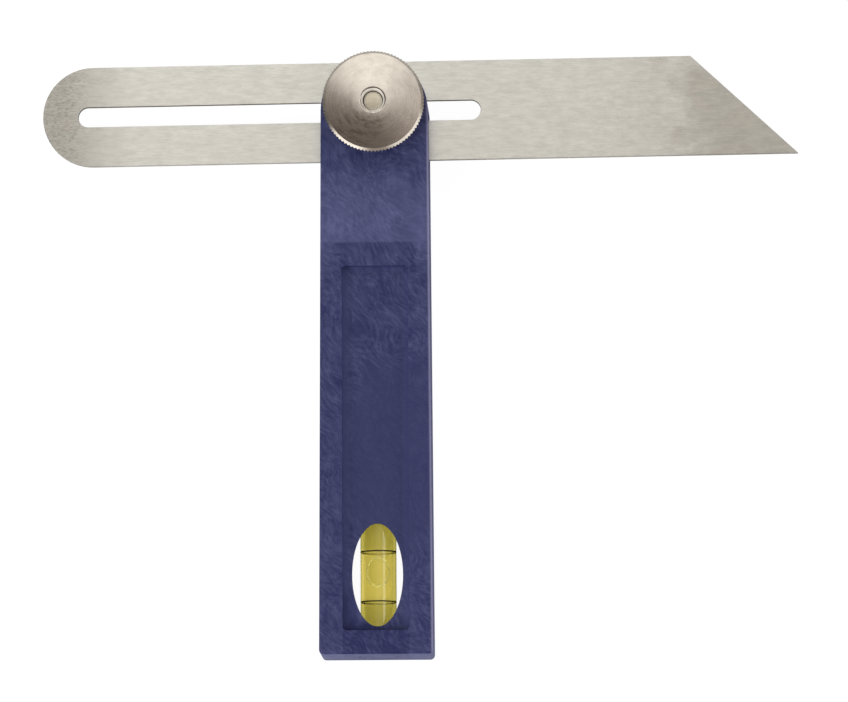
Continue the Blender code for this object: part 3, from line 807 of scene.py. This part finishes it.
nylon, tree, shader = start_finish("washer_nylon", roughness=0.5)
shader.inputs["Subsurface Weight"].default_value = 0.2
shader.inputs["Subsurface Scale"].default_value = 0.5 * MM
milk = noise(tree, place_on_piece(tree), size=1.5 * MM, detail=3)
tree.links.new(blend(tree, milk, NYLON_DARK, NYLON_LIGHT), shader.inputs["Base Color"])
raise_surface(tree, shader, milk, NYLON_DEPTH)
for node in ("front_blade_washer", "back_blade_washer"):
    smooth_copy(node, "blade_washers", nylon)
print("blade washers dressed")

# %% [markdown]
# ## The vial
#
# The vial is a clear tube of yellow-green liquid. Light goes through it to the white table and comes
# back, so its colour is the table's, filtered. A real tube of liquid works as a lens that spreads the
# liquid's colour to the very edge of the tube. Bending the rays here would also bring in the dark
# bore on both sides, so the rays go nearly straight and the tube's outside carries the colour
# instead. Painted light makes the tint lightest between the rings, and painted shade makes it
# darkest along the tube's two sides, where its wall is seen edge on. Its bore stays clear, and a
# glossy coat gives the bright line along it.

# %% Tinted tube and clear caps
CLEAR_IOR = 1.001
CLEAR_ROUGHNESS = 0.02
COAT_ROUGHNESS = 0.09
CLOUD_SQUEEZE = (1, 0.4, 1)
TUBE_TINT = shown(208, 194, 97)
TUBE_CLOUD = shown(198, 186, 91)
TUBE_LIT_MIDDLE = shown(243, 224, 123)
TUBE_SIDE_SHADE = shown(176, 166, 76)
ACRYLIC = shown(252, 251, 242)
ACRYLIC_CLOUD = shown(248, 247, 236)
LIT_BETWEEN_RINGS = (8.5 * MM, 5 * MM)
LEFT_OF_TUBE = (-3.4 * MM, -4.6 * MM)
LEFT_SIDE_SHADE_SHARE = 0.4
RIGHT_OF_TUBE = (3.1 * MM, 4.5 * MM)
RIGHT_SIDE_SHADE_SHARE = 0.85

tube_low, tube_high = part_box("vial_tube")
liquid_low, liquid_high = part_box("vial_liquid")
ring_low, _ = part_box("vial_lower_ring")
_, ring_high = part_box("vial_upper_ring")
vial_middle = (ring_low + ring_high) / 2
tube_radius = (tube_high.x - tube_low.x) / 2
liquid_radius = (liquid_high.x - liquid_low.x) / 2
bore_limit = (tube_radius + liquid_radius) / 2


def clear_finish(name, colour, cloudy_colour, coat=0.0):
    """A clear finish with a slightly uneven tint. Gives its tree, shader and tint as well."""
    material, tree, shader = start_finish(name, CLEAR_ROUGHNESS)
    shader.inputs["Transmission Weight"].default_value = 1
    shader.inputs["IOR"].default_value = CLEAR_IOR
    shader.inputs["Coat Weight"].default_value = coat
    shader.inputs["Coat Roughness"].default_value = COAT_ROUGHNESS
    cloud = noise(tree, place_on_piece(tree, CLOUD_SQUEEZE), size=3 * MM, detail=3)
    tint = blend(tree, cloud, colour, cloudy_colour)
    tree.links.new(tint, shader.inputs["Base Color"])
    return material, tree, shader, tint


def in_bore(face):
    """True for a face of the tube's bore."""
    return math.hypot(face.center.x - vial_middle.x, face.center.z - vial_middle.z) < bore_limit


tinted, tree, shader, tint = clear_finish("vial_tinted", TUBE_TINT, TUBE_CLOUD, coat=1.0)
across, along, _ = place_parts(tree, place_on_piece(tree))
from_middle = absolute(tree, combine(tree, "ADD", along, -vial_middle.y))
# Painted light between the rings
tint = blend(tree, ramp(tree, from_middle, LIT_BETWEEN_RINGS, soft=True), tint, TUBE_LIT_MIDDLE)
off_line = combine(tree, "ADD", across, -vial_middle.x)
# Painted shade along the tube's two sides, heavier on the right
tube_side_shade = combine(
    tree, "MAXIMUM",
    ramp(tree, off_line, LEFT_OF_TUBE, LEFT_SIDE_SHADE_SHARE),
    ramp(tree, off_line, RIGHT_OF_TUBE, RIGHT_SIDE_SHADE_SHARE),
)
tree.links.new(blend(tree, tube_side_shade, tint, TUBE_SIDE_SHADE), shader.inputs["Base Color"])
acrylic, _, _, _ = clear_finish("vial_acrylic", ACRYLIC, ACRYLIC_CLOUD)

tube = smooth_copy("vial_tube", "handle", tinted)
for node in ("vial_upper_cap", "vial_lower_cap"):
    smooth_copy(node, "handle", acrylic)
bore_faces = second_finish(tube, acrylic, in_bore)
for face in bore_faces:
    face.use_smooth = False
print("tube dressed, with", len(bore_faces), "clear faces in its bore")

# %% [markdown]
# The liquid is faintly milky, so it hides most of what is behind it: the far half of each marking
# ring is only just seen. It is clear at its two sides, because a milky side would draw a dark line
# along the bore.
#
# The bubble is clear in its middle and clouded at its rim, because that is where a real bubble turns
# the light aside. The rim is found from the bubble's own measures: a distance from its middle that is
# one at its outline. A real rim also gathers light from the table. These rays don't bend, so a faint
# glow on the rim stands in for that light.

# %% Liquid and bubble
LIQUID_LIGHT = shown(250, 248, 220)
LIQUID_DARK = shown(242, 240, 206)
LIQUID_SIDE = (3.2 * MM, 3.8 * MM)
CLEAR_SHARE = 0.66
SIDE_CLEAR_SHARE = 0.95
AIR_MIDDLE = shown(247, 247, 242)
AIR_RIM = shown(238, 246, 222)
AIR_RIM_REACH = (0.85, 0.97)
RIM_CLEAR_SHARE = 0.3
RIM_GLOW = 0.11

liquid, tree, shader = start_finish("vial_liquid", roughness=0.3)
shader.inputs["IOR"].default_value = CLEAR_IOR
across, _, _ = place_parts(tree, place_on_piece(tree))
off_line = absolute(tree, combine(tree, "ADD", across, -vial_middle.x))
clear = remap(tree, off_line, *LIQUID_SIDE, CLEAR_SHARE, SIDE_CLEAR_SHARE, soft=True)
tree.links.new(clear, shader.inputs["Transmission Weight"])
cloud = noise(tree, place_on_piece(tree, CLOUD_SQUEEZE), size=2.5 * MM, detail=3)
tree.links.new(blend(tree, cloud, LIQUID_LIGHT, LIQUID_DARK), shader.inputs["Base Color"])
smooth_copy("vial_liquid", "handle", liquid, smooth=False)

bubble_low, bubble_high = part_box("vial_bubble")
bubble_middle = (bubble_low + bubble_high) / 2
bubble_half = (bubble_high - bubble_low) / 2
air, tree, shader = start_finish("vial_air", roughness=0.05)
shader.inputs["IOR"].default_value = CLEAR_IOR
from_middle = reach_from(tree, place_on_piece(tree), bubble_middle, bubble_half)
rim = ramp(tree, from_middle, AIR_RIM_REACH, soft=True)
tree.links.new(remap(tree, rim, 0, 1, 1, RIM_CLEAR_SHARE), shader.inputs["Transmission Weight"])
shader.inputs["Emission Color"].default_value = WHITE
tree.links.new(combine(tree, "MULTIPLY", rim, RIM_GLOW), shader.inputs["Emission Strength"])
tree.links.new(blend(tree, rim, AIR_MIDDLE, AIR_RIM), shader.inputs["Base Color"])
smooth_copy("vial_bubble", "bubble", air, smooth=False)
print("liquid and bubble dressed")

# %% [markdown]
# ## Marking rings and cushion
#
# The rings are black bands that the bubble is read between. The cushion is a rubber disc that holds
# the vial in its bore. Both are nearly black, the ink with a little shine and the rubber with none.

# %% Ink and rubber
INK_DEEP = shown(18, 20, 12)
INK_WORN = shown(44, 46, 30)
RUBBER_DEEP = shown(30, 30, 32)
RUBBER_WORN = shown(48, 48, 50)
WORN_ROUGHNESS_SPREAD = 0.08


def dark_finish(name, deep, patch, roughness, size):
    """A dark finish with slightly lighter worn patches of a size in metres."""
    material, tree, shader = start_finish(name, roughness)
    wear = noise(tree, place_on_piece(tree), size, detail=3)
    tree.links.new(blend(tree, wear, deep, patch), shader.inputs["Base Color"])
    uneven = from_noise(tree, wear, roughness - WORN_ROUGHNESS_SPREAD, roughness + WORN_ROUGHNESS_SPREAD)
    tree.links.new(uneven, shader.inputs["Roughness"])
    return material


ink = dark_finish("ring_ink", INK_DEEP, INK_WORN, roughness=0.4, size=0.6 * MM)
rubber = dark_finish("cushion_rubber", RUBBER_DEEP, RUBBER_WORN, roughness=0.85, size=1 * MM)
for node in ("vial_upper_ring", "vial_lower_ring"):
    smooth_copy(node, "handle", ink)
smooth_copy("vial_cushion", "handle", rubber)
print("rings and cushion dressed")

# %% [markdown]
# ## The studio
#
# The tool lies on a white table in soft light from all sides. Where the camera or a clear piece looks
# past the tool, table and sky are plain white, and the table keeps a faint shadow of the tool.

# %% Floor
FLOOR_SIZE = 6.0
FLOOR_GAP = 0.05 * MM
FLOOR_WHITENESS = 0.86
FLOOR_GLOW = 1.12
FLOOR_PAINT = (0.6, 0.6, 0.6, 1)
FAR_PAINT = (0.08, 0.08, 0.08, 1)
FAR_FLOOR = (0.25, 0.5)


def looking_ray(tree):
    """One for a ray from the camera or through a clear piece, and zero for any other."""
    path = tree.nodes.new("ShaderNodeLightPath")
    return combine(tree, "MAXIMUM", path.outputs["Is Camera Ray"], path.outputs["Is Transmission Ray"])


def mix_shaders(tree, share, first, second):
    """Mixes two shaders by a share."""
    node = tree.nodes.new("ShaderNodeMixShader")
    tree.links.new(share, node.inputs["Fac"])
    tree.links.new(first, node.inputs[1])
    tree.links.new(second, node.inputs[2])
    return node.outputs["Shader"]


form = bmesh.new()
bmesh.ops.create_grid(form, x_segments=1, y_segments=1, size=FLOOR_SIZE / 2)
bmesh.ops.translate(form, vec=(0, 0, -FLOOR_GAP), verts=form.verts)
floor_mesh = bpy.data.meshes.new("floor")
form.to_mesh(floor_mesh)
form.free()
floor = new_object("floor", floor_mesh)
floor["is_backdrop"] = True

floor_finish = bpy.data.materials.new("floor_white")
floor_finish.use_nodes = True
tree = floor_finish.node_tree
tree.nodes.clear()
paint = tree.nodes.new("ShaderNodeBsdfDiffuse")
away = ramp(tree, distance(tree, place_on_piece(tree)), FAR_FLOOR, soft=True)
tree.links.new(blend(tree, away, FLOOR_PAINT, FAR_PAINT), paint.inputs["Color"])
white = tree.nodes.new("ShaderNodeEmission")
white.inputs["Strength"].default_value = FLOOR_GLOW
share = combine(tree, "MULTIPLY", looking_ray(tree), FLOOR_WHITENESS)
both = mix_shaders(tree, share, paint.outputs["BSDF"], white.outputs["Emission"])
end = tree.nodes.new("ShaderNodeOutputMaterial")
tree.links.new(both, end.inputs["Surface"])
floor.data.materials.append(floor_finish)
print("floor", FLOOR_SIZE, "m wide,", FLOOR_WHITENESS, "plain white")

# %% [markdown]
# A reflection sees the room instead of plain white. The room's shape comes from the photograph: the
# sloping faces of the nut and of the handle's frame each mirror another part of it. A soft box
# overhead grows brighter towards the back. A narrow light with a weak glow round it stands on the
# right. Near the horizon there are pale walls in front, behind and on the right, with a gap in front
# for the picture's taker. The dim parts of the room are warm.
#
# A direction has three parts, east, north and high, each from minus one to one. Every light in the
# room is a ramp on them, or on the angle from one direction.

# %% The room that reflections see
# The soft box and the lights overhead
SOFT_BOX_BACKWARDS = (-0.17, 0.36)
SOFT_BOX_LEVEL = 1.3
SOFT_BOX_SLANT = 0.4
SOFT_BOX_LEFT = (-0.43, -0.07)
SOFT_BOX_RIGHT = (0.62, 0.09)
SIDE_LIGHT = {"towards": (0.62, 0.12, 0.78), "inner": 3, "outer": 11, "level": 3.6}
SIDE_GLOW = {"towards": (0.42, -0.15, 0.9), "inner": 4, "outer": 22, "level": 0.22}
OVERHEAD = (0.5, 0.7)

# The walls near the horizon, with the gap in the front one
WALL_TOP = (0.5, 0.2)
FRONT_SLANT = -0.35
FRONT_RIGHT_WALL = (-0.33, -0.62)
FRONT_WALL = (-0.3, -0.65)
FRONT_SPAN = (-0.5, 0.4)
FRONT_LEVELS = (2.1, 1.4)
GAP_MIDDLE = 0.05
GAP_SPAN = (0.18, 0.46)
GAP_LEVEL = 0.2
BACK_WALL = (0.4, 0.9)
BACK_LEVEL = 1.2
FAR_BACK_WALL = (0.88, 0.98)
FAR_BACK_LEVEL = 0.5
RIGHT_ROOM_WALL = (0.8, 0.97)
RIGHT_ROOM_LEVEL = 0.3

# The dim light of the rest, which is weakest at the far left
LEFT_END = (-0.95, -0.6)
ROOM_LEVELS = (0.03, 0.12)

world = bpy.data.worlds.new("studio")
bpy.context.scene.world = world
world.use_nodes = True
tree = world.node_tree
tree.nodes.clear()
direction = tree.nodes.new("ShaderNodeTexCoord").outputs["Generated"]
east, north, high = place_parts(tree, direction)


def lamp_patch(towards, inner, outer, level):
    """A level within the inner angle of a direction, and zero past the outer one, in degrees."""
    dot = tree.nodes.new("ShaderNodeVectorMath")
    dot.operation = "DOT_PRODUCT"
    dot.inputs[1].default_value = Vector(towards).normalized()
    tree.links.new(direction, dot.inputs[0])
    ends = [math.cos(math.radians(angle)) for angle in (outer, inner)]
    return ramp(tree, dot.outputs["Value"], ends, level, soft=True)


slanted = combine(tree, "ADD", east, combine(tree, "MULTIPLY", north, SOFT_BOX_SLANT))
soft_box = combine(
    tree, "MULTIPLY",
    ramp(tree, north, SOFT_BOX_BACKWARDS, SOFT_BOX_LEVEL, soft=True),
    ramp(tree, slanted, SOFT_BOX_LEFT, soft=True),
    ramp(tree, east, SOFT_BOX_RIGHT, soft=True),
)
lights = combine(tree, "ADD", soft_box, lamp_patch(**SIDE_LIGHT), lamp_patch(**SIDE_GLOW))
lights = combine(tree, "MULTIPLY", lights, ramp(tree, high, OVERHEAD, soft=True))

south_east = combine(tree, "ADD", north, combine(tree, "MULTIPLY", east, FRONT_SLANT))
off_gap = absolute(tree, combine(tree, "ADD", east, -GAP_MIDDLE))
front = combine(
    tree, "MULTIPLY",
    combine(
        tree, "MAXIMUM",
        ramp(tree, south_east, FRONT_RIGHT_WALL, soft=True),
        ramp(tree, north, FRONT_WALL, soft=True),
    ),
    remap(tree, east, *FRONT_SPAN, *FRONT_LEVELS),
    remap(tree, off_gap, *GAP_SPAN, GAP_LEVEL, 1, soft=True),
)
walls = combine(
    tree, "ADD",
    front,
    ramp(tree, north, BACK_WALL, BACK_LEVEL, soft=True),
    ramp(tree, north, FAR_BACK_WALL, FAR_BACK_LEVEL, soft=True),
    ramp(tree, east, RIGHT_ROOM_WALL, RIGHT_ROOM_LEVEL, soft=True),
)
walls = combine(tree, "MULTIPLY", walls, ramp(tree, high, WALL_TOP, soft=True))
room = combine(tree, "ADD", lights, walls, remap(tree, east, *LEFT_END, *ROOM_LEVELS))
print("room built from", len(tree.nodes), "nodes")

# %% [markdown]
# Three kinds of ray meet the sky. One that looks past the tool sees plain white, a reflection sees
# the room, and any other brings the even light that falls on the tool from all sides.

# %% The sky for each kind of ray
SKY_LIGHT = 0.72
WARM = (1, 0.82, 0.73, 1)
WARM_END = (0.1, 0.9)

path = tree.nodes.new("ShaderNodeLightPath")
strength = tree.nodes.new("ShaderNodeMix")
strength.data_type = "FLOAT"
tree.links.new(path.outputs["Is Glossy Ray"], strength.inputs["Factor"])
even_input, room_input = (strength.inputs[index] for index in MIX_NUMBERS)
even_input.default_value = SKY_LIGHT
tree.links.new(room, room_input)
lit = tree.nodes.new("ShaderNodeBackground")
tree.links.new(strength.outputs[MIX_NUMBER_OUT], lit.inputs["Strength"])
room_colour = blend(tree, ramp(tree, room, WARM_END), WARM, WHITE)
tree.links.new(blend(tree, path.outputs["Is Glossy Ray"], WHITE, room_colour), lit.inputs["Color"])
plain = tree.nodes.new("ShaderNodeBackground")
plain.inputs["Color"].default_value = WHITE
plain.inputs["Strength"].default_value = 1
sky = mix_shaders(tree, looking_ray(tree), lit.outputs["Background"], plain.outputs["Background"])
end = tree.nodes.new("ShaderNodeOutputWorld")
tree.links.new(sky, end.inputs["Surface"])
print("sky lights at", SKY_LIGHT)

# %% [markdown]
# One square soft box on the left gives the light a direction. It stays out of reflections, where the
# room already has its lights.

# %% Key lamp
KEY_PLACE = Vector((-0.85, -0.6, 1.15))
KEY_AIM = Vector((0, -0.06, 0))
KEY_SIZE = 0.8
KEY_POWER = 9

key_data = bpy.data.lights.new("key", "AREA")
key_data.size = KEY_SIZE
key_data.energy = KEY_POWER
key = new_object("key", key_data)
key.location = KEY_PLACE
key.rotation_euler = (KEY_AIM - KEY_PLACE).to_track_quat("-Z", "Y").to_euler()
key.visible_glossy = False
print("key lamp", KEY_POWER, "W")

# %% [markdown]
# ## Finish
#
# The picture is shown without a film look, so that a colour renders as it is written. The boxes of
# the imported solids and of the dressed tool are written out, so that they can be compared.

scene = bpy.context.scene
scene.view_settings.view_transform = "Standard"
boxes = {"cad": cad_box, "dressed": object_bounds()}
boxes = {name: [list(map(float, corner)) for corner in box] for name, box in boxes.items()}
print(boxes)
